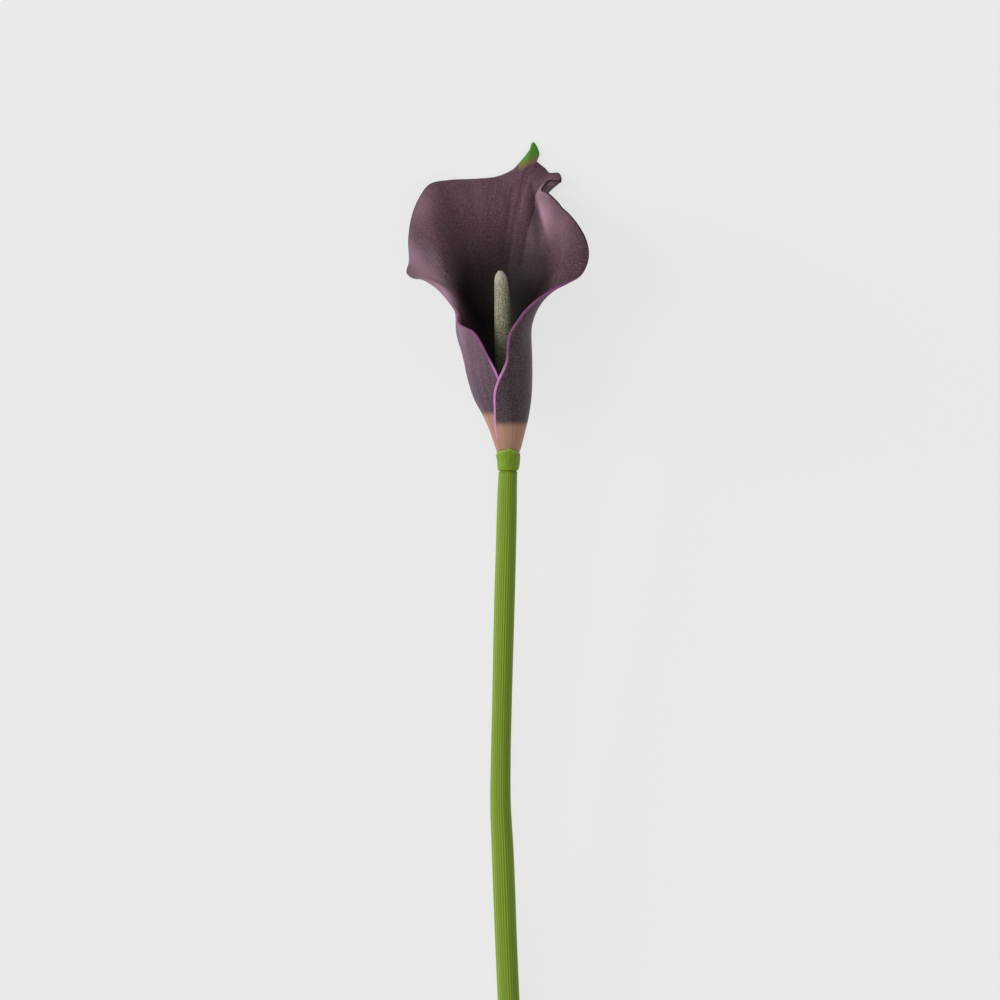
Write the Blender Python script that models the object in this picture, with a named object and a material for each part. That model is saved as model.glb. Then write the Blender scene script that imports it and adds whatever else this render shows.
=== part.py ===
"""Calla lily flower on its cut stem, lying on its back with the mouth of the flower facing up.

The flower is worked out in its own frame, in millimetres: x across it, y up along it from the foot of the
spathe, and depth (z) out of the open side of the mouth, all from the axis of the flower. An empty carries
that frame in the part's frame, which is in metres, with +Z up and the surface it lies on at Z = 0.
"""

import math

import bpy
import numpy as np

MM = 0.001

# The pose: where the foot of the flower is in the part's frame
FOOT_X = 3.9
FOOT_Y = 94.5
AXIS_HEIGHT = 26.4

# The spathe
SHEET = 0.9
FOOT_Y_LOW = -4.5
LAP_LIFT = 0.75
SHOULDER_SIDE = 45.0
SHOULDER_BACK = 60.0
SHOULDER_SHARE = 0.72
NOTCH_HOLD = 0.14
NOTCH_LIFT = 5.0
ARRIVAL_REACH = 1.1
COLUMNS_PER_SPAN = 2
ROWS = 18

# Height, centre across, centre in depth, and middle radius of the rolled tube
TUBE = (
    (-4.5, 0.0, 0.0, 2.7),
    (-2.0, 0.0, 0.0, 3.3),
    (0.0, 0.1, 0.0, 4.0),
    (3.0, 0.0, 0.0, 4.95),
    (6.7, -0.15, 0.0, 6.05),
    (13.0, -0.8, 0.0, 8.15),
    (18.5, -1.9, -0.1, 10.05),
    (26.0, -2.95, -0.3, 11.5),
    (34.5, -3.9, -0.4, 12.4),
    (43.0, -5.2, -0.5, 13.45),
    (52.0, -5.0, -0.8, 14.0),
    (64.0, -4.2, -1.5, 16.4),
    (80.0, -3.0, -3.0, 18.5),
)

# The edge of the inner flap, from its hidden foot up to the notch: roll round the tube in degrees
# (0 in front, 90 left, 180 back, 270 right) and height
INNER_FLAP = (
    (44.5, 0.5),
    (38.0, 4.2),
    (20.0, 9.0),
    (6.0, 15.0),
    (-3.0, 21.5),
    (3.0, 27.0),
    (18.5, 35.2),
    (27.0, 40.7),
    (36.0, 43.6),
)

# The margin of the mouth from the notch round the left lobe, the back rim, the tip and the right lobe:
# roll, x, y, depth, then the way the sheet arrives there: heading (0 up, 90 left, -90 right) and recline
MOUTH = (
    (52.0, -16.2, 45.2, 8.9, 5.0, 0.0),
    (74.0, -18.5, 47.0, 4.5, 20.0, 5.0),
    (86.0, -18.9, 50.3, 0.6, 60.0, 5.0),
    (92.0, -21.5, 54.2, -1.4, 68.0, 5.0),
    (97.0, -26.6, 59.9, -2.8, 74.0, 12.0),
    (101.0, -31.8, 63.1, -4.4, 86.0, 28.0),
    (105.0, -35.8, 63.9, -6.6, 98.0, 42.0),
    (108.0, -37.2, 65.5, -8.3, 98.0, 52.0),
    (112.0, -36.4, 69.0, -10.0, 88.0, 58.0),
    (120.0, -36.6, 77.7, -13.5, 75.0, 56.0),
    (129.0, -35.3, 86.6, -17.0, 65.0, 50.0),
    (138.0, -32.4, 93.8, -20.5, 50.0, 44.0),
    (145.0, -28.9, 98.3, -23.0, 35.0, 42.0),
    (153.0, -22.0, 99.8, -25.0, 10.0, 45.0),
    (164.0, -12.0, 100.3, -26.0, 0.0, 45.0),
    (174.0, -3.5, 101.3, -26.0, -8.0, 42.0),
    (181.0, 2.0, 103.7, -25.9, -14.0, 38.0),
    (186.0, 4.8, 105.3, -25.6, -18.0, 28.0),
    (190.0, 7.0, 106.2, -25.4, -20.0, 20.0),
    (193.0, 8.6, 106.7, -25.4, -22.0, 16.0),
    (196.0, 10.0, 106.9, -25.4, -24.0, 18.0),
    (199.0, 11.2, 106.5, -25.4, -26.0, 24.0),
    (201.5, 12.2, 105.4, -25.5, -28.0, 29.0),
    (204.0, 13.2, 104.2, -25.6, -30.0, 33.0),
    (207.0, 14.1, 102.4, -25.4, -32.0, 35.0),
    (210.0, 14.8, 100.6, -24.8, -34.0, 34.0),
    (213.0, 15.2, 99.0, -23.9, -36.0, 33.0),
    (216.0, 15.7, 97.3, -22.5, -40.0, 30.0),
    (219.0, 16.2, 95.7, -20.8, -42.0, 28.0),
    (222.0, 16.8, 94.2, -19.0, -45.0, 25.0),
    (228.0, 18.6, 90.9, -14.5, -50.0, 20.0),
    (235.0, 22.6, 87.1, -9.5, -60.0, 15.0),
    (243.0, 26.2, 82.4, -5.5, -70.0, 15.0),
    (250.0, 28.5, 78.1, -3.5, -80.0, 15.0),
    (258.0, 29.7, 72.2, -0.5, -90.0, 15.0),
    (264.0, 29.0, 68.3, 1.5, -95.0, 10.0),
    (269.0, 26.6, 64.2, 3.5, -90.0, 5.0),
    (275.0, 22.6, 61.9, 5.0, -75.0, 0.0),
    (281.0, 18.0, 59.7, 6.5, -60.0, 0.0),
    (288.0, 14.0, 57.4, 8.0, -45.0, 0.0),
    (297.0, 9.5, 54.2, 9.8, -30.0, 0.0),
    (308.0, 6.2, 51.0, 11.2, -15.0, 0.0),
    (320.0, 3.4, 47.3, 12.4, -5.0, 0.0),
)

# The edge of the outer flap, from the mouth down over the inner flap to its foot: roll and height
OUTER_FLAP = (
    (334.0, 43.7),
    (341.0, 38.5),
    (346.5, 32.6),
    (353.0, 29.6),
    (362.0, 26.3),
    (373.0, 21.5),
    (383.0, 15.2),
    (392.0, 10.9),
    (399.0, 6.7),
    (401.0, 4.0),
    (403.0, 0.5),
)

# What the tip and the pleat beside it add, by roll: how far the margin is thrown sideways, up and out in
# depth, and how far the fold below it curls to the upper left. The throw fades down the sheet.
TIP_AND_PLEAT = (
    (178.0, 0.0, 0.0, 0.0, 0.0),
    (181.0, 0.0, 0.1, 0.0, 0.0),
    (186.0, 0.4, 1.9, 0.0, 0.0),
    (190.0, 1.4, 5.2, 0.0, 0.0),
    (193.0, 0.9, 7.3, 0.0, 0.0),
    (196.0, 1.4, 3.2, 0.0, 0.0),
    (199.0, -0.9, 0.7, 0.0, 0.0),
    (201.5, 0.0, 0.0, 0.0, 0.0),
    (204.0, 0.4, 0.1, 0.0, 0.0),
    (206.5, 1.5, -0.2, -0.2, 0.0),
    (208.5, 4.3, 1.0, -0.4, 0.0),
    (210.0, 4.8, 0.4, 0.0, 0.0),
    (211.2, 4.6, -0.3, 0.4, 0.0),
    (213.0, 2.2, 0.9, 0.6, 0.2),
    (215.3, -0.4, 2.1, 0.8, 1.1),
    (217.0, -1.8, 1.7, 1.0, 1.6),
    (219.6, -3.7, 0.6, 1.0, 1.2),
    (221.5, -2.2, 0.9, 0.6, 0.6),
    (224.0, -1.0, 0.7, 0.2, 0.2),
    (228.0, 0.2, 0.3, 0.0, 0.0),
    (231.0, 0.0, 0.0, 0.0, 0.0),
)
THROW_FADE = 5
CURL_REACH = 0.2
CURL_HEADING = 55.0

# Swells and hollows of the inner wall: centre across and up, lean, half width, half lengths down and up,
# and rise (a hollow's is below 0). They are the hollow under the right lobe, the crest of the left lobe,
# the flat of the back, the dip under the rim and the hollow below the pleat.
SWELLS = (
    (13.0, 72.2, 0.08, 5.6, 22.0, 16.0, -6.8),
    (-22.9, 70.3, -0.32, 5.0, 14.0, 14.0, 4.2),
    (2.4, 84.7, 0.16, 2.0, 11.0, 10.0, 1.5),
    (1.0, 95.5, 0.0, 4.0, 6.0, 3.5, -1.0),
    (12.5, 95.0, 0.0, 3.0, 6.0, 5.0, -1.0),
)
SWELL_TOP = 6.0
SWELL_FADE = 10.0

# The spadix: height, centre across, centre in depth, radius
SPADIX = (
    (-4.0, 0.0, 0.0, 1.9),
    (2.0, -0.1, 0.0, 2.2),
    (12.0, -0.5, -0.2, 3.0),
    (30.0, -1.2, -0.8, 3.5),
    (46.0, -1.75, -1.5, 3.3),
    (55.0, -2.1, -2.0, 2.95),
    (61.0, -2.5, -2.5, 2.55),
    (64.5, -2.75, -2.8, 1.9),
    (66.2, -2.85, -2.9, 0.7),
)
FLORETS_ROUND = 10
FLORET_RISE = 0.28
FLORET_PITCH = 2.1

# The stem: height along it, centre across, radius; above its first station it is a plain neck
STEM_TOP = -5.6
NECK_RADIUS = 3.1
STEM = (
    (-8.0, 0.0, 3.45),
    (-12.0, -0.2, 3.55),
    (-20.0, -0.4, 3.7),
    (-37.0, -0.8, 3.8),
    (-55.0, -1.3, 3.85),
    (-92.0, -2.2, 3.7),
    (-115.0, -2.7, 3.72),
    (-129.5, -2.8, 3.85),
    (-148.0, -2.0, 4.1),
    (-185.0, -0.6, 4.1),
    (-225.0, 1.2, 4.05),
    (-303.0, 4.4, 4.0),
)
STEM_RIBS = 18
RIB_RISE = 0.2
RIB_POINTS = 3
STEM_RINGS = 20

# The collar: height and outer radius; its bore keeps clear of the stem and of the spathe's foot
COLLAR = (
    (-7.6, 3.75),
    (-6.0, 3.95),
    (-4.2, 4.05),
    (-2.2, 4.5),
    (-0.4, 4.95),
)
COLLAR_CLEARANCE = 0.3
COLLAR_SIDES = 36


def smooth(stations, at):
    """The stations' values at the given places, on a smooth curve through them all.

    Each station is (place, value, ...); the curve is a cubic between neighbours, with the slope at a
    station taken from the two stations beside it.
    """
    table = np.array(stations, dtype=float)
    place = table[:, 0]
    value = table[:, 1:]
    slope = np.gradient(value, place, axis=0)
    at = np.clip(np.asarray(at, dtype=float), place[0], place[-1])
    low = np.clip(np.searchsorted(place, at, side="right") - 1, 0, len(place) - 2)
    span = place[low + 1] - place[low]
    t = ((at - place[low]) / span)[..., None]
    span = span[..., None]
    return (
        (2 * t**3 - 3 * t**2 + 1) * value[low]
        + (t**3 - 2 * t**2 + t) * span * slope[low]
        + (3 * t**2 - 2 * t**3) * value[low + 1]
        + (t**3 - t**2) * span * slope[low + 1]
    )


def ease(value):
    """0 below 0, 1 above 1, and a soft step between."""
    t = np.clip(value, 0.0, 1.0)
    return t * t * (3.0 - 2.0 * t)


def tube_point(roll, height):
    """A point of the rolled tube; the two flaps part where they lie over each other."""
    centre_x, centre_z, radius = np.moveaxis(smooth(TUBE, height), -1, 0)
    part = ease((height - 0.5) / 4.0)
    lift = LAP_LIFT * part * (ease((roll - 270.0) / 80.0) - ease((60.0 - roll) / 45.0))
    angle = np.radians(roll)
    radius = radius + lift
    return np.stack([centre_x - radius * np.sin(angle), height, centre_z + radius * np.cos(angle)], axis=-1)


def tube_heading(roll, height):
    """The way up along the tube at a point of it, as a vector whose y is 1."""
    step = 0.5
    rise = tube_point(roll, height + step) - tube_point(roll, height - step)
    return rise / (2.0 * step)


def unit(vectors):
    return vectors / np.linalg.norm(vectors, axis=-1, keepdims=True)


def flap_stations(flap):
    """Margin stations of a flap, which lies on the tube: roll, point and arrival."""
    roll, height = np.array(flap).T
    return np.column_stack([roll, tube_point(roll, height), unit(tube_heading(roll, height))])


def mouth_stations():
    """Margin stations of the mouth: roll, point and arrival."""
    roll, x, y, z, heading, recline = np.array(MOUTH).T
    heading = np.radians(heading)
    recline = np.radians(recline)
    arrival = [-np.sin(heading) * np.cos(recline), np.cos(heading) * np.cos(recline), -np.sin(recline)]
    return np.column_stack([roll, x, y, z, *arrival])


def margin_stations():
    """Every margin station, with its distance along the margin first."""
    rows = np.vstack([flap_stations(INNER_FLAP), mouth_stations(), flap_stations(OUTER_FLAP)])
    steps = np.linalg.norm(np.diff(rows[:, 1:4], axis=0), axis=1)
    return np.column_stack([np.concatenate([[0.0], np.cumsum(steps)]), rows])


def throw(roll, share):
    """How far the tip and the pleat beside it move the sheet; it fades down the sheet from the margin."""
    side, up, out, curl = np.moveaxis(smooth(TIP_AND_PLEAT, roll), -1, 0)
    fade = share**THROW_FADE
    hump = curl * np.sin(math.pi * np.clip((1.0 - share) / CURL_REACH, 0.0, 1.0))
    heading = math.radians(CURL_HEADING)
    across = side * fade - hump * math.sin(heading)
    return np.stack([across, up * fade + hump * math.cos(heading), out * fade], axis=-1)


def swell(point):
    """How far the swells and hollows lift the sheet at a point; the flaps in front stay as they are."""
    rise = np.zeros_like(point[..., 0])
    for across, up, lean, width, below, above, height in SWELLS:
        off_up = point[..., 1] - up
        off_side = (point[..., 0] - across - lean * off_up) / width
        off_up = off_up / np.where(off_up < 0.0, below, above)
        rise = rise + height * np.exp(-(off_side**2) - off_up**2)
    rise = rise * ease((SWELL_TOP - point[..., 2]) / SWELL_FADE)
    return np.stack([np.zeros_like(rise), np.zeros_like(rise), rise], axis=-1)


def spathe_point(station, share):
    """Points of the sheet's middle surface: a vein climbs the tube to a shoulder, then bends out to
    the margin. share is 0 at the foot and 1 at the margin."""
    roll = station[..., 0]
    end = station[..., 1:4]
    arrival = unit(station[..., 4:7])
    back = np.clip(-np.cos(np.radians(roll)), 0.0, 1.0)
    notch = ease((roll - 70.0) / 15.0) - ease((roll - 105.0) / 22.0)
    shoulder = SHOULDER_SIDE + (SHOULDER_BACK - SHOULDER_SIDE) * back + NOTCH_LIFT * notch
    hold = SHOULDER_SHARE + NOTCH_HOLD * notch
    shoulder = np.minimum(shoulder, FOOT_Y_LOW + hold * (end[..., 1] - FOOT_Y_LOW))
    start = tube_point(roll, shoulder)
    chord = np.linalg.norm(end - start, axis=-1)
    climb = shoulder - FOOT_Y_LOW
    split = climb / (climb + chord)
    on_tube = tube_point(roll, FOOT_Y_LOW + climb * np.clip(share / split, 0.0, 1.0))
    t = np.clip((share - split) / (1.0 - split), 0.0, 1.0)
    leave = unit(tube_heading(roll, shoulder)) * chord[..., None]
    arrive = arrival * (chord * ARRIVAL_REACH)[..., None]
    s = t[..., None]
    bent = (
        (2 * s**3 - 3 * s**2 + 1) * start
        + (s**3 - 2 * s**2 + s) * leave
        + (3 * s**2 - 2 * s**3) * end
        + (s**3 - s**2) * arrive
    )
    point = np.where(s > 0.0, bent, on_tube)
    return point + swell(point) + throw(roll, t)


def spathe_grid():
    """The middle surface as a grid of points, columns along the margin and rows up the veins."""
    stations = margin_stations()
    place = stations[:, 0]
    steps = np.arange(COLUMNS_PER_SPAN) / COLUMNS_PER_SPAN
    columns = (place[:-1, None] + np.diff(place)[:, None] * steps).ravel()
    columns = np.append(columns, place[-1])
    rows = np.linspace(0.0, 1.0, ROWS + 1)
    station = smooth(stations, columns)[:, None, :]
    station = np.repeat(station, len(rows), axis=1)
    share = np.repeat(rows[None, :], len(columns), axis=0)
    return spathe_point(station, share)


def sheet_mesh(middle, thickness):
    """Vertices and triangles of a sheet round its middle surface, split alike on both faces."""
    along = np.gradient(middle, axis=0)
    up = np.gradient(middle, axis=1)
    normal = unit(np.cross(along, up))
    columns, rows = middle.shape[:2]
    half = 0.5 * thickness
    points = np.concatenate([(middle + half * normal).reshape(-1, 3), (middle - half * normal).reshape(-1, 3)])
    under = columns * rows
    faces = []
    for i in range(columns - 1):
        for j in range(rows - 1):
            a = i * rows + j
            b = a + rows
            c = b + 1
            d = a + 1
            first = np.linalg.norm(middle[i, j] - middle[i + 1, j + 1])
            second = np.linalg.norm(middle[i + 1, j] - middle[i, j + 1])
            if first <= second:
                pair = ((a, b, c), (a, c, d))
            else:
                pair = ((a, b, d), (b, c, d))
            for face in pair:
                faces.append(face)
                faces.append(tuple(under + k for k in reversed(face)))
    rim = [i * rows for i in range(columns)]
    rim += [(columns - 1) * rows + j for j in range(1, rows)]
    rim += [i * rows + rows - 1 for i in range(columns - 2, -1, -1)]
    rim += [j for j in range(rows - 2, 0, -1)]
    for k, here in enumerate(rim):
        there = rim[(k + 1) % len(rim)]
        faces.append((there, here, under + here))
        faces.append((there, under + here, under + there))
    return points, faces


def lathe_mesh(rings):
    """Vertices and faces of a solid through closed rings of equal length, with flat ends."""
    count = len(rings)
    sides = len(rings[0])
    points = np.concatenate(rings)
    faces = []
    for j in range(count - 1):
        for i in range(sides):
            a = j * sides + i
            b = j * sides + (i + 1) % sides
            c = b + sides
            d = a + sides
            if (i + j) % 2:
                faces += [(a, b, d), (b, c, d)]
            else:
                faces += [(a, b, c), (a, c, d)]
    faces.append(tuple(reversed(range(sides))))
    faces.append(tuple((count - 1) * sides + i for i in range(sides)))
    return points, faces


def ring(centre, radius, sides, turn=0.0):
    """A ring of points across the y axis; it runs so that lathe_mesh faces out when y rises."""
    angle = turn + 2.0 * math.pi * np.arange(sides) / sides
    radius = np.broadcast_to(radius, sides)
    x, y, z = centre
    return np.stack([x + radius * np.sin(angle), np.full(sides, y), z + radius * np.cos(angle)], axis=-1)


def spadix_rings():
    """Rings up the spadix; florets stand out as a brick pattern of points, a formula of turn and height."""
    sides = 2 * FLORETS_ROUND
    low = SPADIX[0][0]
    high = SPADIX[-1][0]
    count = int(round((high - low) / (0.5 * FLORET_PITCH)))
    rings = []
    for j in range(count + 1):
        height = low + (high - low) * j / count
        x, z, radius = smooth(SPADIX, height)
        raised = (np.arange(sides) + j) % 2
        shy = min(1.0, 0.35 * radius)
        rings.append(ring((x, height, z), radius - FLORET_RISE * shy * (1 - raised), sides))
    return rings


def stem_depth(height):
    """The stem's centre in depth: it falls from the flower's axis to lie with its cut end on the surface."""
    low = STEM[-1][0]
    fall = AXIS_HEIGHT - STEM[-1][2]
    share = (STEM_TOP - height) / (STEM_TOP - low)
    return -fall * (1.15 * share - 0.15 * share**2)


def stem_rings():
    """Rings up the stem: low ribs to the collar, then the plain neck inside it."""
    sides = STEM_RIBS * RIB_POINTS
    wave = np.cos(2.0 * math.pi * np.arange(sides) / RIB_POINTS)
    rings = []
    for height in np.linspace(STEM[-1][0], STEM[0][0], STEM_RINGS):
        x, radius = smooth(STEM[::-1], height)
        rings.append(ring((x, height, stem_depth(height)), radius + 0.5 * RIB_RISE * (wave - 1.0), sides))
    for height in (STEM[0][0] + 0.1, STEM_TOP):
        rings.append(ring((0.0, height, stem_depth(height)), NECK_RADIUS, sides))
    return rings


def collar_mesh():
    """The collar: a thin sleeve whose upper rim is ragged, highest in front and lowest at the sides."""
    sides = COLLAR_SIDES
    angle = 2.0 * math.pi * np.arange(sides) / sides
    low, high = COLLAR[0][0], COLLAR[-1][0]
    ragged = 0.5 + 0.5 * np.cos(angle) ** 2 + 0.12 * np.sin(5.0 * angle) + 0.08 * np.sin(11.0 * angle)
    levels = 6
    rows = []
    for j in range(levels + 1):
        share = j / levels
        height = low + (high - low) * share + 1.4 * (ragged - 0.75) * share**3
        radius = smooth(COLLAR, np.clip(height, low, high))[..., 0]
        lip = 0.35 * np.exp(-(((angle - 0.5 * math.pi) / 0.35) ** 2)) * np.sin(math.pi * share)
        rows.append((height, radius + lip))
    bores = []
    for j in range(levels, -1, -1):
        height = rows[j][0]
        sheath = smooth(TUBE, np.maximum(height, FOOT_Y_LOW))[..., 2] + 0.5 * SHEET
        core = np.where(height < FOOT_Y_LOW, NECK_RADIUS, 0.0)
        bores.append((height, np.maximum(sheath, core) + COLLAR_CLEARANCE))
    points = []
    for height, radius in rows + bores:
        depth = np.where(height < STEM_TOP, stem_depth(height), 0.0)
        points.append(np.stack([radius * np.sin(angle), height, depth + radius * np.cos(angle)], axis=-1))
    faces = []
    count = len(points)
    for j in range(count):
        for i in range(sides):
            a = j * sides + i
            b = j * sides + (i + 1) % sides
            c = ((j + 1) % count) * sides + (i + 1) % sides
            d = ((j + 1) % count) * sides + i
            faces.append((a, b, c))
            faces.append((a, c, d))
    return np.concatenate(points), faces


def clear_scene():
    for thing in list(bpy.data.objects):
        bpy.data.objects.remove(thing, do_unlink=True)


def make_material(name, colour, roughness):
    material = bpy.data.materials.new(name)
    material.use_nodes = True
    shader = material.node_tree.nodes["Principled BSDF"]
    shader.inputs["Base Color"].default_value = (*colour, 1.0)
    shader.inputs["Roughness"].default_value = roughness
    shader.inputs["Metallic"].default_value = 0.0
    material.diffuse_color = (*colour, 1.0)
    return material


def add_part(name, points, faces, material, frame):
    """An object from millimetre points, smooth shaded and carried by the flower's frame."""
    mesh = bpy.data.meshes.new(name)
    mesh.from_pydata((points * MM).tolist(), [], faces)
    mesh.validate()
    mesh.shade_smooth()
    mesh.set_sharp_from_angle(angle=math.radians(50.0))
    mesh.materials.append(material)
    part = bpy.data.objects.new(name, mesh)
    bpy.context.scene.collection.objects.link(part)
    part.parent = frame
    return part


def build():
    clear_scene()
    frame = bpy.data.objects.new("flower_frame", None)
    frame.location = (FOOT_X * MM, FOOT_Y * MM, AXIS_HEIGHT * MM)
    bpy.context.scene.collection.objects.link(frame)

    petal = make_material("spathe_skin", (0.085, 0.035, 0.062), 0.55)
    florets = make_material("spadix_florets", (0.32, 0.29, 0.19), 0.8)
    green = make_material("stem_green", (0.25, 0.38, 0.045), 0.5)
    leaf = make_material("collar_green", (0.16, 0.35, 0.02), 0.45)

    add_part("spathe", *sheet_mesh(spathe_grid(), SHEET), petal, frame)
    add_part("spadix", *lathe_mesh(spadix_rings()), florets, frame)
    add_part("stem", *lathe_mesh(stem_rings()), green, frame)
    add_part("stem_collar", *collar_mesh(), leaf, frame)


build()
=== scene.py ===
"""The looks of a cut calla lily that lies on its back: its skins, florets and ribs, and the studio."""

import math

import bpy
import numpy as np
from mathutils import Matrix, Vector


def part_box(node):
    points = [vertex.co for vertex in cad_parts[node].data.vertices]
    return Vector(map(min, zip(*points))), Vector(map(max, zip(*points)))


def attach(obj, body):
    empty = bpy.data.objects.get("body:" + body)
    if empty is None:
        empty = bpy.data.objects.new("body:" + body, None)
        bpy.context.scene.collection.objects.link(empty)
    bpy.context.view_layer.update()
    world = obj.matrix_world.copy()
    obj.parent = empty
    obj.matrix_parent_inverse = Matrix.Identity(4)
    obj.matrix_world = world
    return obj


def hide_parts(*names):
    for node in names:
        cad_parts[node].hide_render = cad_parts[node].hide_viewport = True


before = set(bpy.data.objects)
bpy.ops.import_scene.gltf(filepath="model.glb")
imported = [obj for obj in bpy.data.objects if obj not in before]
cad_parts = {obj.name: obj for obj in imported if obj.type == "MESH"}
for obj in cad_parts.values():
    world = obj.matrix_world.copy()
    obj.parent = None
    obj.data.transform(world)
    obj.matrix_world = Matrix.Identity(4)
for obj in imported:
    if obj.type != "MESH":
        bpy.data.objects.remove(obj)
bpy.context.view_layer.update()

# ---------------------------------------------------------------------------------------------------
# The stem: one round green flower stalk, a little bent, with fine ribs along it. Its narrow top end
# stands in the collar under the flower; its lower end is cut square and lies on the table.
# ---------------------------------------------------------------------------------------------------

MM = 0.001

AXIS_HEIGHT = 26.4
STEM_TOP = -5.6
NECK_RADIUS = 3.1

# Height along the flower, centre across and radius, in millimetres from the foot of the flower
STEM = (
    (-8.0, 0.0, 3.45),
    (-12.0, -0.2, 3.55),
    (-20.0, -0.4, 3.7),
    (-37.0, -0.8, 3.8),
    (-55.0, -1.3, 3.85),
    (-92.0, -2.2, 3.7),
    (-115.0, -2.7, 3.72),
    (-129.5, -2.8, 3.85),
    (-148.0, -2.0, 4.1),
    (-185.0, -0.6, 4.1),
    (-225.0, 1.2, 4.05),
    (-303.0, 4.4, 4.0),
)

RIB_COUNT = 26
RIB_RISE = 0.11
RIB_POINTS = 8
RIB_WANDER = 0.6
RIB_UNEVEN = 0.3
STEM_LEVELS = 170
STEM_SAG = 0.15
CUT_DISH = 0.25
CUT_RINGS = (0.2, 0.5, 0.8, 0.97)
NECK_STEP = 0.1
# Share of the painted furrow shade on the smooth neck
NECK_FURROW_SHADE = 0.3

# The flower's own frame: its foot, on its axis, found from the boxes of the spathe and the stem
SPATHE_REACH_LEFT = 37.42
spathe_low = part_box("spathe")[0]
stem_low, stem_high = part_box("stem")
foot = np.array([
    spathe_low[0] + SPATHE_REACH_LEFT * MM,
    stem_high[1] - STEM_TOP * MM,
    stem_low[2] + AXIS_HEIGHT * MM,
])


def smooth(stations, at):
    """The stations' values at the given places, on a smooth curve through them all.

    Each station is (place, value, ...); the curve is a cubic between neighbours, with the slope at a
    station taken from the two stations beside it.
    """
    table = np.array(stations, dtype=float)
    place = table[:, 0]
    value = table[:, 1:]
    slope = np.gradient(value, place, axis=0)
    at = np.clip(np.asarray(at, dtype=float), place[0], place[-1])
    low = np.clip(np.searchsorted(place, at, side="right") - 1, 0, len(place) - 2)
    span = place[low + 1] - place[low]
    t = ((at - place[low]) / span)[..., None]
    span = span[..., None]
    return (
        (2 * t**3 - 3 * t**2 + 1) * value[low]
        + (t**3 - 2 * t**2 + t) * span * slope[low]
        + (3 * t**2 - 2 * t**3) * value[low + 1]
        + (t**3 - t**2) * span * slope[low + 1]
    )


def stem_depth(height):
    """The stem's centre in depth: it falls from the flower's axis until its cut end lies on the surface."""
    low = STEM[-1][0]
    fall = AXIS_HEIGHT - STEM[-1][2]
    share = (STEM_TOP - height) / (STEM_TOP - low)
    return -fall * ((1.0 + STEM_SAG) * share - STEM_SAG * share**2)


def ring(centre, radius, angle):
    """Points round the flower's axis, at angles from its open side."""
    x, y, z = centre
    radius = np.broadcast_to(radius, angle.shape)
    across = x + radius * np.sin(angle)
    return np.stack([across, np.full(angle.shape, y), z + radius * np.cos(angle)], axis=-1)


def round_faces(count, sides):
    """Quads between closed rings of points, and flat ends; they face out when the rings rise."""
    j, i = np.meshgrid(np.arange(count - 1), np.arange(sides), indexing="ij")
    here = j * sides + i
    there = j * sides + (i + 1) % sides
    faces = np.stack([here, there, there + sides, here + sides], axis=-1).reshape(-1, 4).tolist()
    faces.append(list(reversed(range(sides))))
    faces.append([(count - 1) * sides + i for i in range(sides)])
    return faces


def add_piece(name, points, faces, material, marks):
    """A smooth piece from millimetre points in the flower's frame, with its marks for the material."""
    mesh = bpy.data.meshes.new(name)
    mesh.from_pydata((np.asarray(points) * MM + foot).tolist(), [], faces)
    mesh.shade_smooth()
    for mark, values in marks.items():
        layer = mesh.attributes.new(mark, "FLOAT", "POINT")
        layer.data.foreach_set("value", np.asarray(values, dtype=np.float32))
    mesh.materials.append(material)
    piece = bpy.data.objects.new(name, mesh)
    bpy.context.scene.collection.objects.link(piece)
    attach(piece, "root")
    return piece


def colour(code):
    """An sRGB hex colour as linear RGBA."""
    parts = [int(code[k:k + 2], 16) / 255.0 for k in (1, 3, 5)]
    return tuple(c / 12.92 if c <= 0.04045 else ((c + 0.055) / 1.055) ** 2.4 for c in parts) + (1.0,)


def add_node(tree, kind, inputs, out=0, **settings):
    """The output of a new shader node; each input is a plain value or another node's output."""
    made = tree.nodes.new("ShaderNode" + kind)
    for name, value in settings.items():
        setattr(made, name, value)
    for socket, value in inputs.items():
        if isinstance(value, bpy.types.NodeSocket):
            tree.links.new(value, made.inputs[socket])
        else:
            made.inputs[socket].default_value = value
    return made.outputs[out]


def new_material(name, **sockets):
    """A material, its node tree and its Principled shader, with that shader's constant sockets."""
    material = bpy.data.materials.new(name)
    material.use_nodes = True
    shader = material.node_tree.nodes["Principled BSDF"]
    for socket, value in sockets.items():
        shader.inputs[socket.replace("_", " ")].default_value = value
    return material, material.node_tree, shader


# Stem skin: smooth plant skin with a thin wax, yellow-green on the ribs. Painted shade makes it darker in
# the furrows, which are about 1 mm apart; streaks of cells run along it, drawn 0.5 mm wide to show at all,
# and faint blotches 17 mm wide change its green a little.
stem_skin, tree, shader = new_material("waxy_ribbed_stem_skin", Roughness=0.5, Specular_IOR_Level=0.2)
STREAK_WIDTH = 0.5
STREAK_LENGTH = 14.0
BLOTCH_WIDTH = 16.667
# In a mix of colours, socket 0 is the share, 6 and 7 are the two colours, and output 2 is the result
COLOUR_MIX = {"out": 2, "data_type": "RGBA"}
place = add_node(tree, "TexCoord", {}, out="Object")
streak_scale = (1.0 / (STREAK_WIDTH * MM), 1.0 / (STREAK_LENGTH * MM), 1.0 / (STREAK_WIDTH * MM))
drawn = add_node(tree, "Mapping", {"Vector": place, "Scale": streak_scale})
streaks = add_node(tree, "TexNoise", {"Vector": drawn, "Scale": 1.0, "Detail": 3.0})
blotch = add_node(tree, "TexNoise", {"Vector": place, "Scale": 1.0 / (BLOTCH_WIDTH * MM), "Detail": 2.0})
crest = add_node(tree, "Mix", {0: blotch, 6: colour("#8ea92e"), 7: colour("#99b238")}, **COLOUR_MIX)
# Painted shade: a darker green in the furrows, laid on by the groove mark
furrow_shade = add_node(tree, "Mix", {0: streaks, 6: colour("#5a7619"), 7: colour("#6b8621")}, **COLOUR_MIX)
groove = add_node(tree, "Attribute", {}, out="Fac", attribute_name="groove")
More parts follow.
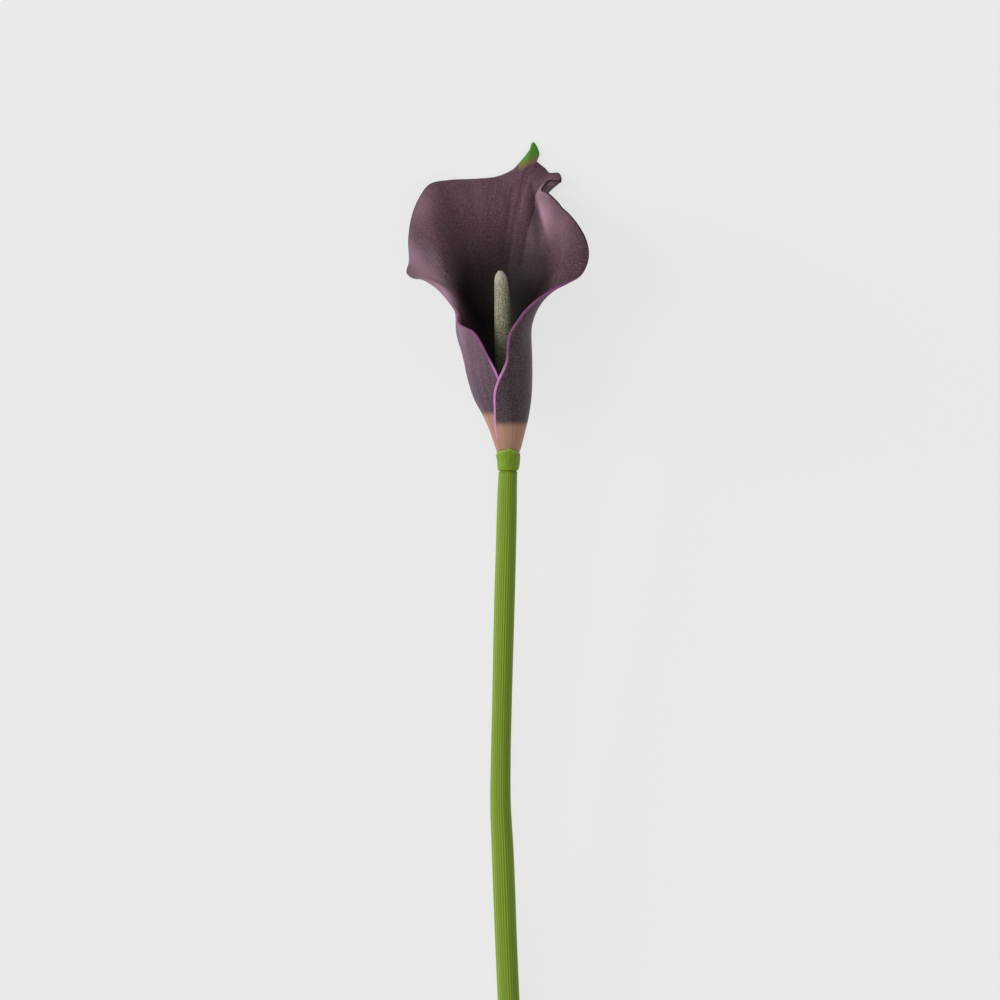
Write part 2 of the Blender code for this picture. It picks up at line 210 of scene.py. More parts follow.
depth = add_node(tree, "Math", {0: groove, 1: 0.95}, operation="MULTIPLY")
skin = add_node(tree, "Mix", {0: depth, 6: crest, 7: furrow_shade}, **COLOUR_MIX)
cut = add_node(tree, "Attribute", {}, out="Fac", attribute_name="cut")
skin = add_node(tree, "Mix", {0: cut, 6: skin, 7: colour("#b7c58a")}, **COLOUR_MIX)
tree.links.new(skin, shader.inputs["Base Color"])
grain = add_node(tree, "Bump", {"Height": streaks, "Strength": 0.25, "Distance": 0.1 * MM})
tree.links.new(grain, shader.inputs["Normal"])

turn = 2.0 * math.pi * np.arange(RIB_COUNT * RIB_POINTS) / (RIB_COUNT * RIB_POINTS)
wave = 0.5 + 0.5 * np.cos(RIB_COUNT * turn + RIB_WANDER * np.sin(3.0 * turn))
wave = wave * (1.0 - RIB_UNEVEN + RIB_UNEVEN * np.sin(5.0 * turn + 1.0))
low_end, low_x, low_radius = STEM[-1]
stem_points = []
stem_groove = []
stem_cut = []
for share in CUT_RINGS:
    dished = low_end + CUT_DISH * (1.0 - share)
    stem_points.append(ring((low_x, dished, stem_depth(low_end)), share * low_radius, turn))
    stem_groove.append(np.zeros(len(turn)))
    stem_cut.append(np.ones(len(turn)))
for height in np.linspace(low_end, STEM[0][0], STEM_LEVELS):
    x, radius = smooth(STEM[::-1], height)
    stem_points.append(ring((x, height, stem_depth(height)), radius - RIB_RISE * (1.0 - wave), turn))
    stem_groove.append(1.0 - wave)
    stem_cut.append(np.zeros(len(turn)))
for height in (STEM[0][0] + NECK_STEP, STEM_TOP):
    stem_points.append(ring((0.0, height, stem_depth(height)), NECK_RADIUS, turn))
    stem_groove.append(np.full(len(turn), NECK_FURROW_SHADE))
    stem_cut.append(np.zeros(len(turn)))
stem_marks = {"groove": np.concatenate(stem_groove), "cut": np.concatenate(stem_cut)}
stem_faces = round_faces(len(stem_points), len(turn))
stem_piece = add_piece("ribbed_stem", np.concatenate(stem_points), stem_faces, stem_skin, stem_marks)
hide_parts("stem")

# ---------------------------------------------------------------------------------------------------
# The collar: a short sleeve of brighter green skin that holds the foot of the flower on the stem.
# It is thin, and its upper rim is torn, highest in front, with a small lip at its right side.
# ---------------------------------------------------------------------------------------------------

# Height and outer radius
COLLAR = (
    (-7.6, 3.75),
    (-6.0, 3.95),
    (-4.2, 4.05),
    (-2.2, 4.5),
    (-0.4, 4.95),
)
COLLAR_CLEARANCE = 0.3
COLLAR_LEVELS = 18
COLLAR_SIDES = 144

# The torn rim: waves round it (height, count, phase), a peak in front (height, width) and a drop at each
# side (depth, angle, half width). Heights are shares of RIM_REACH millimetres, counted from RIM_LEVEL
RIM_WAVES = ((0.12, 5.0, 0.0), (0.08, 11.0, 0.0), (0.06, 23.0, 1.0))
RIM_PEAK = (0.3, 0.08)
RIM_DROPS = ((1.6, 0.45 * math.pi, 0.5), (1.0, 1.5 * math.pi, 0.6))
RIM_REACH = 1.4
RIM_LEVEL = 0.75
PALE_RIM_SHARE = 1.0 / 6.0

# The lip at the right side (rise, angle, half width) and the faint folds along the sleeve
LIP = (0.35, 0.5 * math.pi, 0.35)
FOLD_RISE = 0.04
FOLD_COUNT = 17.0

# The rolled tube that stands in it: height, centre across, centre in depth and middle radius
TUBE = (
    (-4.5, 0.0, 0.0, 2.7),
    (-2.0, 0.0, 0.0, 3.3),
    (0.0, 0.1, 0.0, 4.0),
    (3.0, 0.0, 0.0, 4.95),
    (6.7, -0.15, 0.0, 6.05),
    (13.0, -0.8, 0.0, 8.15),
    (18.5, -1.9, -0.1, 10.05),
    (26.0, -2.95, -0.3, 11.5),
    (34.5, -3.9, -0.4, 12.4),
    (43.0, -5.2, -0.5, 13.45),
    (52.0, -5.0, -0.8, 14.0),
    (64.0, -4.2, -1.5, 16.4),
    (80.0, -3.0, -3.0, 18.5),
)
FOOT_Y_LOW = -4.5
SHEET = 0.9

# Collar skin: soft smooth skin with a faint shine, a clearer green than the stem and paler along its
# torn rim. Its fine lengthwise streaks are drawn 0.7 mm wide and five times as long.
collar_skin, tree, shader = new_material("soft_green_sleeve", Roughness=0.45, Specular_IOR_Level=0.25)
SLEEVE_STREAK = 0.7
SLEEVE_STREAK_LENGTH = 3.5
place = add_node(tree, "TexCoord", {}, out="Object")
across_scale = 1.0 / (SLEEVE_STREAK * MM)
streak_scale = (across_scale, 1.0 / (SLEEVE_STREAK_LENGTH * MM), across_scale)
drawn = add_node(tree, "Mapping", {"Vector": place, "Scale": streak_scale})
streaks = add_node(tree, "TexNoise", {"Vector": drawn, "Scale": 1.0, "Detail": 3.0})
skin = add_node(tree, "Mix", {0: streaks, 6: colour("#5f8411"), 7: colour("#86a42a")}, **COLOUR_MIX)
rim = add_node(tree, "Attribute", {}, out="Fac", attribute_name="rim")
skin = add_node(tree, "Mix", {0: rim, 6: skin, 7: colour("#93b04c")}, **COLOUR_MIX)
tree.links.new(skin, shader.inputs["Base Color"])
grain = add_node(tree, "Bump", {"Height": streaks, "Strength": 0.4, "Distance": 0.1 * MM})
tree.links.new(grain, shader.inputs["Normal"])

angle = 2.0 * math.pi * np.arange(COLLAR_SIDES) / COLLAR_SIDES
ragged = 0.5 + 0.5 * np.cos(angle) ** 2
for tooth, count, phase in RIM_WAVES:
    ragged = ragged + tooth * np.sin(count * angle + phase)
peak, peak_width = RIM_PEAK
ragged = ragged + peak * np.exp(-(1.0 - np.cos(angle)) / peak_width)
for drop, side, half_width in RIM_DROPS:
    ragged = ragged - drop * np.exp(-(((angle - side) / half_width) ** 2))
lip_rise, lip_side, lip_width = LIP
collar_low = COLLAR[0][0]
collar_high = COLLAR[-1][0]
outside = []
for share in np.linspace(0.0, 1.0, COLLAR_LEVELS + 1):
    torn = RIM_REACH * (ragged - RIM_LEVEL) * share**3
    height = collar_low + (collar_high - collar_low) * share + torn
    radius = smooth(COLLAR, np.clip(height, collar_low, collar_high))[..., 0]
    lip = lip_rise * np.exp(-(((angle - lip_side) / lip_width) ** 2)) * np.sin(math.pi * share)
    fold = FOLD_RISE * np.sin(FOLD_COUNT * angle) * share
    outside.append((height, radius + lip + fold, share))
bore = []
for height, radius, share in reversed(outside):
    sheath = smooth(TUBE, np.maximum(height, FOOT_Y_LOW))[..., 2] + 0.5 * SHEET
    core = np.where(height < FOOT_Y_LOW, NECK_RADIUS, 0.0)
    bore.append((height, np.maximum(sheath, core) + COLLAR_CLEARANCE, share))
collar_points = []
collar_rim = []
for height, radius, share in outside + bore:
    depth = np.where(height < STEM_TOP, stem_depth(height), 0.0)
    round_it = [radius * np.sin(angle), height, depth + radius * np.cos(angle)]
    collar_points.append(np.stack(round_it, axis=-1))
    collar_rim.append(np.full(COLLAR_SIDES, max(0.0, 1.0 - (1.0 - share) / PALE_RIM_SHARE)))
rings = len(collar_points)
j, i = np.meshgrid(np.arange(rings), np.arange(COLLAR_SIDES), indexing="ij")
here = j * COLLAR_SIDES + i
there = j * COLLAR_SIDES + (i + 1) % COLLAR_SIDES
above = ((j + 1) % rings) * COLLAR_SIDES
quads = np.stack([here, there, above + (i + 1) % COLLAR_SIDES, above + i], axis=-1)
collar_faces = quads.reshape(-1, 4).tolist()
collar_marks = {"rim": np.concatenate(collar_rim)}
collar_piece = add_piece(
    "torn_collar", np.concatenate(collar_points), collar_faces, collar_skin, collar_marks
)
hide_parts("stem_collar")

# ---------------------------------------------------------------------------------------------------
# The spadix: the flower's own finger of tightly packed florets, which stands on the stem inside the
# spathe and leans back a little. Its florets are small dry grains, dusted with pollen.
# ---------------------------------------------------------------------------------------------------

# Height, centre across, centre in depth and radius
SPADIX = (
    (-4.0, 0.0, 0.0, 1.9),
    (2.0, -0.1, 0.0, 2.2),
    (12.0, -0.5, -0.2, 3.0),
    (30.0, -1.2, -0.8, 3.5),
    (46.0, -1.75, -1.5, 3.3),
    (55.0, -2.1, -2.0, 2.95),
    (61.0, -2.5, -2.5, 2.55),
    (64.5, -2.75, -2.8, 1.9),
    (66.2, -2.85, -2.9, 0.7),
)
FLORET_ROWS = 24
FLORET_STEPS = 6
FLORET_PITCH = 0.75
FLORET_RISE = 0.28
FLORET_SEED = 7
END_SLACK = 0.05

# In cells of one floret each: between what shares its centre may stand, and how far its dome reaches.
# FLORET_GAP sets how soon a dome's slope counts as gap, and FLORET_SIZE how florets shrink at the thin end
FLORET_DRIFT = (0.1, 0.9)
FLORET_SPREAD = 0.75
FLORET_GAP = 1.5
FLORET_SIZE = 0.35

# Florets: dry, matt grains, grey-beige on their heads. Painted shade makes them brown between them and dark
# down in the throat, and a painted highlight makes them palest at the top. The dust on them is far finer
# than a grain and is drawn 0.4 mm coarse to show.
florets, tree, shader = new_material("pollen_dusted_florets", Roughness=0.85, Specular_IOR_Level=0.25)
DUST = 0.4
# In a map range, socket 0 is the value, 1 and 2 are the span it is read over, and 3 and 4 what that gives
SOFT_STEP = {"interpolation_type": "SMOOTHSTEP"}
place = add_node(tree, "TexCoord", {}, out="Object")
dust = add_node(tree, "TexNoise", {"Vector": place, "Scale": 1.0 / (DUST * MM), "Detail": 3.0})
dusted = add_node(tree, "MapRange", {0: dust, 1: 0.36, 2: 0.64})
grain = add_node(tree, "Mix", {0: dusted, 6: colour("#6a6550"), 7: colour("#bdb79f")}, **COLOUR_MIX)
# Painted shade in the gaps between the florets
floret_gap_shade = add_node(tree, "Attribute", {}, out="Fac", attribute_name="floret_gap_shade")
grain = add_node(tree, "Mix", {0: floret_gap_shade, 6: grain, 7: colour("#5a5441")}, **COLOUR_MIX)
rise = add_node(tree, "Attribute", {}, out="Fac", attribute_name="rise")
# Painted highlight at the top of the spadix
floret_tip_highlight = add_node(tree, "MapRange", {0: rise, 1: 59.0, 2: 66.0, 4: 0.4}, **SOFT_STEP)
grain = add_node(tree, "Mix", {0: floret_tip_highlight, 6: grain, 7: colour("#ded8c2")}, **COLOUR_MIX)
# Painted shade down in the throat
floret_throat_shade = add_node(tree, "MapRange", {0: rise, 1: 62.0, 2: 13.0}, **SOFT_STEP)
grain = add_node(tree, "Mix", {0: floret_throat_shade, 6: grain, 7: colour("#3c3820")}, **COLOUR_MIX)
tree.links.new(grain, shader.inputs["Base Color"])
rough = add_node(tree, "Bump", {"Height": dust, "Strength": 0.6, "Distance": 0.12 * MM})
tree.links.new(rough, shader.inputs["Normal"])

turn = 2.0 * math.pi * np.arange(FLORET_ROWS * FLORET_STEPS) / (FLORET_ROWS * FLORET_STEPS)
heights = np.arange(SPADIX[0][0], SPADIX[-1][0] + END_SLACK, FLORET_PITCH / FLORET_STEPS)
row, level = np.meshgrid(FLORET_ROWS * turn / (2.0 * math.pi), (heights - heights[0]) / FLORET_PITCH)
# One spare level of cells lies below the lowest one and one above the highest
cells = (FLORET_ROWS, int(level.max()) + 3, 2)
shift = np.random.default_rng(FLORET_SEED).uniform(*FLORET_DRIFT, cells)
apart = np.full(row.shape, np.inf)
for row_step in (-1, 0, 1):
    for level_step in (-1, 0, 1):
        near_row = np.floor(row).astype(int) + row_step
        near_level = np.floor(level).astype(int) + level_step
        centre = shift[near_row % FLORET_ROWS, near_level + 1]
        off_row = near_row + centre[..., 0] - row
        off_level = near_level + centre[..., 1] - level
        apart = np.minimum(apart, np.hypot(off_row, off_level))
dome = np.sqrt(np.clip(1.0 - (apart / FLORET_SPREAD) ** 2, 0.0, 1.0))
spadix_points = []
for height, height_dome in zip(heights, dome):
    x, z, radius = smooth(SPADIX, height)
    size = min(1.0, FLORET_SIZE * radius)
    spadix_points.append(ring((x, height, z), radius - FLORET_RISE * size * (1.0 - height_dome), turn))
gap = np.clip(1.0 - FLORET_GAP * dome, 0.0, 1.0)
spadix_marks = {"floret_gap_shade": gap.ravel(), "rise": np.repeat(heights, len(turn))}
spadix_faces = round_faces(len(spadix_points), len(turn))
spadix_piece = add_piece(
    "floret_spadix", np.concatenate(spadix_points), spadix_faces, florets, spadix_marks
)
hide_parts("spadix")

# ---------------------------------------------------------------------------------------------------
# The spathe: one thick waxy leaf, rolled into a tube with its right flap over its left, and held in
# the collar by its foot. Its mouth flares left, right and back, and ends in a pleat and a green tip.
# ---------------------------------------------------------------------------------------------------

# Where the flaps lap, each lifts by LAP_LIFT. The lift sets in above LAP_START, over LAP_RUN, and round
# the tube from the first roll of a pair, over as many degrees as its second number says
LAP_LIFT = 0.75
LAP_START = 0.5
LAP_RUN = 4.0
OUTER_LAP = (270.0, 80.0)
INNER_LAP = (60.0, 45.0)

# The shoulder, where the wall leaves the tube: its height at the sides and at the back. It is higher at
# the notch, which sets in and ends over two such pairs
SHOULDER_SIDE = 45.0
SHOULDER_BACK = 60.0
SHOULDER_SHARE = 0.72
NOTCH_HOLD = 0.14
NOTCH_LIFT = 5.0
NOTCH_START = (70.0, 15.0)
NOTCH_END = (105.0, 22.0)
ARRIVAL_REACH = 1.1

# The edge of the inner flap up to the notch: roll round the tube (0 front, 90 left, 180 back) and height
INNER_FLAP = (
    (44.5, 0.5),
    (38.0, 4.2),
    (20.0, 9.0),
    (6.0, 15.0),
    (-3.0, 21.5),
    (3.0, 27.0),
    (18.5, 35.2),
    (27.0, 40.7),
    (36.0, 43.6),
)

# The margin of the mouth: roll, x, y, depth, then heading (0 up, 90 left, -90 right) and recline
MOUTH = (
    (52.0, -16.2, 45.2, 8.9, 5.0, 0.0),
    (74.0, -18.5, 47.0, 4.5, 20.0, 5.0),
    (86.0, -18.9, 50.3, 0.6, 60.0, 5.0),
    (92.0, -21.5, 54.2, -1.4, 68.0, 5.0),
    (97.0, -26.6, 59.9, -2.8, 74.0, 12.0),
    (101.0, -31.8, 63.1, -4.4, 86.0, 28.0),
    (105.0, -35.8, 63.9, -6.6, 98.0, 42.0),
    (108.0, -37.2, 65.5, -8.3, 98.0, 52.0),
    (112.0, -36.4, 69.0, -10.0, 88.0, 58.0),
    (120.0, -36.6, 77.7, -13.5, 75.0, 56.0),
    (129.0, -35.3, 86.6, -17.0, 65.0, 50.0),
    (138.0, -32.4, 93.8, -20.5, 50.0, 44.0),
    (145.0, -28.9, 98.3, -23.0, 35.0, 42.0),
    (153.0, -22.0, 99.8, -25.0, 10.0, 45.0),
    (164.0, -12.0, 100.3, -26.0, 0.0, 45.0),
    (174.0, -3.5, 101.3, -26.0, -8.0, 42.0),
    (181.0, 2.0, 103.7, -25.9, -14.0, 38.0),
    (186.0, 4.8, 105.3, -25.6, -18.0, 28.0),
    (190.0, 7.0, 106.2, -25.4, -20.0, 20.0),
    (193.0, 8.6, 106.7, -25.4, -22.0, 16.0),
    (196.0, 10.0, 106.9, -25.4, -24.0, 18.0),
    (199.0, 11.2, 106.5, -25.4, -26.0, 24.0),
    (201.5, 12.2, 105.4, -25.5, -28.0, 29.0),
    (204.0, 13.2, 104.2, -25.6, -30.0, 33.0),
    (207.0, 14.1, 102.4, -25.4, -32.0, 35.0),
    (210.0, 14.8, 100.6, -24.8, -34.0, 34.0),
    (213.0, 15.2, 99.0, -23.9, -36.0, 33.0),
    (216.0, 15.7, 97.3, -22.5, -40.0, 30.0),
    (219.0, 16.2, 95.7, -20.8, -42.0, 28.0),
    (222.0, 16.8, 94.2, -19.0, -45.0, 25.0),
    (228.0, 18.6, 90.9, -14.5, -50.0, 20.0),
    (235.0, 22.6, 87.1, -9.5, -60.0, 15.0),
    (243.0, 26.2, 82.4, -5.5, -70.0, 15.0),
    (250.0, 28.5, 78.1, -3.5, -80.0, 15.0),
    (258.0, 29.7, 72.2, -0.5, -90.0, 15.0),
    (264.0, 29.0, 68.3, 1.5, -95.0, 10.0),
    (269.0, 26.6, 64.2, 3.5, -90.0, 5.0),
    (275.0, 22.6, 61.9, 5.0, -75.0, 0.0),
    (281.0, 18.0, 59.7, 6.5, -60.0, 0.0),
    (288.0, 14.0, 57.4, 8.0, -45.0, 0.0),
    (297.0, 9.5, 54.2, 9.8, -30.0, 0.0),
    (308.0, 6.2, 51.0, 11.2, -15.0, 0.0),
    (320.0, 3.4, 47.3, 12.4, -5.0, 0.0),
)

# The edge of the outer flap, down over the inner flap to its foot: roll and height
OUTER_FLAP = (
    (334.0, 43.7),
    (341.0, 38.5),
    (346.5, 32.6),
    (353.0, 29.6),
    (362.0, 26.3),
    (373.0, 21.5),
    (383.0, 15.2),
    (392.0, 10.9),
    (399.0, 6.7),
    (401.0, 4.0),
    (403.0, 0.5),
)

# What the tip and the pleat beside it add, by roll: sideways, up, out in depth, and the fold's curl
TIP_AND_PLEAT = (
    (178.0, 0.0, 0.0, 0.0, 0.0),
    (181.0, 0.0, 0.1, 0.0, 0.0),
    (186.0, 0.4, 1.9, 0.0, 0.0),
    (190.0, 1.4, 5.2, 0.0, 0.0),
    (193.0, 0.9, 7.3, 0.0, 0.0),
    (196.0, 1.4, 3.2, 0.0, 0.0),
    (199.0, -0.9, 0.7, 0.0, 0.0),
    (201.5, 0.0, 0.0, 0.0, 0.0),
    (204.0, 0.4, 0.1, 0.0, 0.0),
    (206.5, 1.5, -0.2, -0.2, 0.0),
    (208.5, 4.3, 1.0, -0.4, 0.0),
    (210.0, 4.8, 0.4, 0.0, 0.0),
    (211.2, 4.6, -0.3, 0.4, 0.0),
    (213.0, 2.2, 0.9, 0.6, 0.2),
    (215.3, -0.4, 2.1, 0.8, 1.1),
    (217.0, -1.8, 1.7, 1.0, 1.6),
    (219.6, -3.7, 0.6, 1.0, 1.2),
    (221.5, -2.2, 0.9, 0.6, 0.6),
    (224.0, -1.0, 0.7, 0.2, 0.2),
    (228.0, 0.2, 0.3, 0.0, 0.0),
    (231.0, 0.0, 0.0, 0.0, 0.0),
)
THROW_FADE = 5
CURL_REACH = 0.2
CURL_HEADING = 55.0

# Swells and hollows of the inner wall: centre across and up, lean, half width, half lengths, rise
SWELLS = (
    (13.0, 72.2, 0.08, 5.6, 22.0, 16.0, -6.8),
    (-22.9, 70.3, -0.32, 5.0, 14.0, 14.0, 4.2),
    (2.4, 84.7, 0.16, 2.0, 11.0, 10.0, 1.5),
    (1.0, 95.5, 0.0, 4.0, 6.0, 3.5, -1.0),
    (12.5, 95.0, 0.0, 3.0, 6.0, 5.0, -1.0),
)
SWELL_TOP = 6.0
SWELL_FADE = 10.0

COLUMNS_PER_SPAN = 5
ROWS = 130
RIM_STEPS = 4
RIM_BULGE = 0.22
MARGIN_STEPS = 6
MARGIN_BLOCKS = 256


def ease(value):
    """0 below 0, 1 above 1, and a soft step between."""
    t = np.clip(value, 0.0, 1.0)
    return t * t * (3.0 - 2.0 * t)


def tube_point(roll, height):
    """A point of the rolled tube; the two flaps part where they lie over each other."""
    centre_x, centre_z, radius = np.moveaxis(smooth(TUBE, height), -1, 0)
    part = ease((height - LAP_START) / LAP_RUN)
    out = ease((roll - OUTER_LAP[0]) / OUTER_LAP[1])
    under = ease((INNER_LAP[0] - roll) / INNER_LAP[1])
    radius = radius + LAP_LIFT * part * (out - under)
    angle = np.radians(roll)
    return np.stack([centre_x - radius * np.sin(angle), height, centre_z + radius * np.cos(angle)], axis=-1)


def tube_heading(roll, height):
    """The way up along the tube at a point of it, as a vector whose y is 1."""
    step = 0.5
    rise = tube_point(roll, height + step) - tube_point(roll, height - step)
    return rise / (2.0 * step)


def unit(vectors):
    """The same vectors, each with a length of 1."""
    return vectors / np.linalg.norm(vectors, axis=-1, keepdims=True)


def flap_stations(flap):
    """Margin stations of a flap, which lies on the tube: roll, point and arrival."""
    roll, height = np.array(flap).T
    return np.column_stack([roll, tube_point(roll, height), unit(tube_heading(roll, height))])


def mouth_stations():
    """Margin stations of the mouth: roll, point and arrival."""
    roll, x, y, z, heading, recline = np.array(MOUTH).T
    heading = np.radians(heading)
    recline = np.radians(recline)
    arrival = [-np.sin(heading) * np.cos(recline), np.cos(heading) * np.cos(recline), -np.sin(recline)]
    return np.column_stack([roll, x, y, z, *arrival])


def margin_stations():
    """Every margin station, with its distance along the margin first."""
    rows = np.vstack([flap_stations(INNER_FLAP), mouth_stations(), flap_stations(OUTER_FLAP)])
    steps = np.linalg.norm(np.diff(rows[:, 1:4], axis=0), axis=1)
    return np.column_stack([np.concatenate([[0.0], np.cumsum(steps)]), rows])


def throw(roll, share):
    """How far the tip and the pleat beside it move the sheet; it fades down the sheet from the margin."""
    side, up, out, curl = np.moveaxis(smooth(TIP_AND_PLEAT, roll), -1, 0)
    fade = share**THROW_FADE
    hump = curl * np.sin(math.pi * np.clip((1.0 - share) / CURL_REACH, 0.0, 1.0))
    heading = math.radians(CURL_HEADING)
    across = side * fade - hump * math.sin(heading)
    return np.stack([across, up * fade + hump * math.cos(heading), out * fade], axis=-1)


def swell(point):
    """How far the swells and hollows lift the sheet at a point; the flaps in front stay as they are."""
    rise = np.zeros_like(point[..., 0])
    for across, up, lean, width, below, above, height in SWELLS:
        off_up = point[..., 1] - up
        off_side = (point[..., 0] - across - lean * off_up) / width
        off_up = off_up / np.where(off_up < 0.0, below, above)
        rise = rise + height * np.exp(-(off_side**2) - off_up**2)
    rise = rise * ease((SWELL_TOP - point[..., 2]) / SWELL_FADE)
    return np.stack([np.zeros_like(rise), np.zeros_like(rise), rise], axis=-1)


def spathe_point(station, share):
    """Points of the sheet's middle surface: a vein climbs the tube to a shoulder, then bends out to
    the margin. share is 0 at the foot and 1 at the margin."""
    roll = station[..., 0]
    end = station[..., 1:4]
    arrival = unit(station[..., 4:7])
    back = np.clip(-np.cos(np.radians(roll)), 0.0, 1.0)
    notch = ease((roll - NOTCH_START[0]) / NOTCH_START[1]) - ease((roll - NOTCH_END[0]) / NOTCH_END[1])
    shoulder = SHOULDER_SIDE + (SHOULDER_BACK - SHOULDER_SIDE) * back + NOTCH_LIFT * notch
    hold = SHOULDER_SHARE + NOTCH_HOLD * notch
    shoulder = np.minimum(shoulder, FOOT_Y_LOW + hold * (end[..., 1] - FOOT_Y_LOW))
    start = tube_point(roll, shoulder)
    chord = np.linalg.norm(end - start, axis=-1)
    climb = shoulder - FOOT_Y_LOW
    split = climb / (climb + chord)
    on_tube = tube_point(roll, FOOT_Y_LOW + climb * np.clip(share / split, 0.0, 1.0))
    t = np.clip((share - split) / (1.0 - split), 0.0, 1.0)
    leave = unit(tube_heading(roll, shoulder)) * chord[..., None]
    arrive = arrival * (chord * ARRIVAL_REACH)[..., None]
    s = t[..., None]
    bent = (
        (2 * s**3 - 3 * s**2 + 1) * start
        + (s**3 - 2 * s**2 + s) * leave
        + (3 * s**2 - 2 * s**3) * end
        + (s**3 - s**2) * arrive
    )
    point = np.where(s > 0.0, bent, on_tube)
    return point + swell(point) + throw(roll, t)


stations = margin_stations()
steps = np.arange(COLUMNS_PER_SPAN) / COLUMNS_PER_SPAN
column_place = (stations[:-1, :1] + np.diff(stations[:, 0])[:, None] * steps).ravel()
column_place = np.append(column_place, stations[-1, 0])
column = smooth(stations, column_place)[:, None, :]
share = np.broadcast_to(np.linspace(0.0, 1.0, ROWS + 1)[None, :], (len(column_place), ROWS + 1))
middle = spathe_point(np.repeat(column, ROWS + 1, axis=1), share)
roll = np.broadcast_to(column[..., 0], share.shape)
normal = unit(np.cross(np.gradient(middle, axis=0), np.gradient(middle, axis=1)))

# One grid of quads is the inner face and one the outer; the edge between them is rounded in a few steps
columns, rows = middle.shape[:2]
face_size = columns * rows
points = [(middle + 0.5 * SHEET * normal).reshape(-1, 3), (middle - 0.5 * SHEET * normal).reshape(-1, 3)]
i, j = np.meshgrid(np.arange(columns - 1), np.arange(rows - 1), indexing="ij")
corner = (i * rows + j).ravel()
quads = np.stack([corner, corner + rows, corner + rows + 1, corner + 1], axis=-1)
spathe_faces = quads.tolist() + (quads[:, ::-1] + face_size).tolist()
rim = [(k, 0) for k in range(columns)]
rim += [(columns - 1, k) for k in range(1, rows)]
rim += [(k, rows - 1) for k in range(columns - 2, -1, -1)]
rim += [(0, k) for k in range(rows - 2, 0, -1)]
rim_column, rim_row = np.array(rim).T
rim_middle = middle[rim_column, rim_row]
rim_normal = normal[rim_column, rim_row]
rim_way = unit(np.roll(rim_middle, -1, axis=0) - np.roll(rim_middle, 1, axis=0))
rim_out = unit(np.cross(rim_way, rim_normal))
loops = [rim_column * rows + rim_row]
for k in range(1, RIM_STEPS):
    angle = math.pi * k / RIM_STEPS
    across = 0.5 * SHEET * math.cos(angle)
    points.append(rim_middle + across * rim_normal + RIM_BULGE * math.sin(angle) * rim_out)
    loops.append(2 * face_size + (k - 1) * len(rim) + np.arange(len(rim)))
loops.append(loops[0] + face_size)
for first, second in zip(loops[:-1], loops[1:]):
    spathe_faces += np.stack([np.roll(first, -1), first, second, np.roll(second, -1)], axis=-1).tolist()
points = np.concatenate(points)

# Marks for the skin: way to the nearest margin, roll, outer face, edge, height, painted highlight and
# shade, and way to the tip.
# The way to the margin is worked out block by block, which keeps the tables of distances small.
margin = rim_middle[rim_row == rows - 1]
part_way = np.linspace(0.0, 1.0, MARGIN_STEPS, endpoint=False)[None, :, None]
margin = (margin[:-1, None] + np.diff(margin, axis=0)[:, None] * part_way).reshape(-1, 3)
to_margin = [
    np.sqrt(((block[:, None, :] - margin[None, :, :]) ** 2).sum(-1)).min(1)
    for block in np.array_split(middle.reshape(-1, 3), MARGIN_BLOCKS)
]
to_margin = np.concatenate(to_margin)
edge_points = (RIM_STEPS - 1) * len(rim)

# Painted highlights, paler and rosier, where light falls on the lobes and the pleat, and painted shade down
# in a fold (its share is below 0): across, up, lean, half width, half length and share
PAINTED_HIGHLIGHTS_AND_SHADES = (
    (14.2, 89.0, 0.15, 2.2, 8.0, 0.45),
    (12.0, 90.0, 0.26, 1.1, 8.0, 0.6),
    (12.4, 96.4, 0.0, 1.2, 2.4, 0.5),
    (15.0, 98.8, 0.0, 3.4, 2.4, 0.35),
    (20.0, 82.5, 0.2, 4.0, 8.0, 0.16),
    (-28.5, 61.5, 0.62, 4.5, 16.0, 0.5),
    (-21.2, 55.5, 0.62, 2.4, 7.0, 0.5),
    (-31.5, 91.0, 0.0, 4.5, 6.0, 0.25),
    (10.3, 83.0, 0.16, 1.8, 13.0, -0.65),
)
painted_light_share = np.zeros(len(points))
for across, up, lean, half_width, half_length, amount in PAINTED_HIGHLIGHTS_AND_SHADES:
    beyond = points[:, 1] - up
    aside = points[:, 0] - across + lean * beyond
    painted_light_share += amount * np.exp(-((aside / half_width) ** 2) - (beyond / half_length) ** 2)

# The tip and the way it points. To keep its green off the left rim, the mark is at least GREEN_HOLD at
# GREEN_LEFT, and that least value grows by GREEN_FALL for each millimetre further left
TIP = (9.5, 114.0)
TIP_WAY = (-0.4, 0.92)
GREEN_LEFT = 4.0
GREEN_HOLD = 7.0
GREEN_FALL = 2.0
before_tip = (TIP[0] - points[:, 0]) * TIP_WAY[0] + (TIP[1] - points[:, 1]) * TIP_WAY[1]
before_tip = np.maximum(before_tip, GREEN_HOLD + GREEN_FALL * (GREEN_LEFT - points[:, 0]))
spathe_marks = {
    "to_margin": np.concatenate([to_margin, to_margin, np.zeros(edge_points)]),
    "roll": np.concatenate([roll.ravel(), roll.ravel(), np.tile(roll[rim_column, rim_row], RIM_STEPS - 1)]),
    "outer_face": np.concatenate([np.zeros(face_size), np.ones(face_size), np.full(edge_points, 0.5)]),
    "on_edge": np.concatenate([np.zeros(2 * face_size), np.ones(edge_points)]),
    "rise": points[:, 1],
    "painted_light_share": painted_light_share,
    "before_tip": before_tip,
}
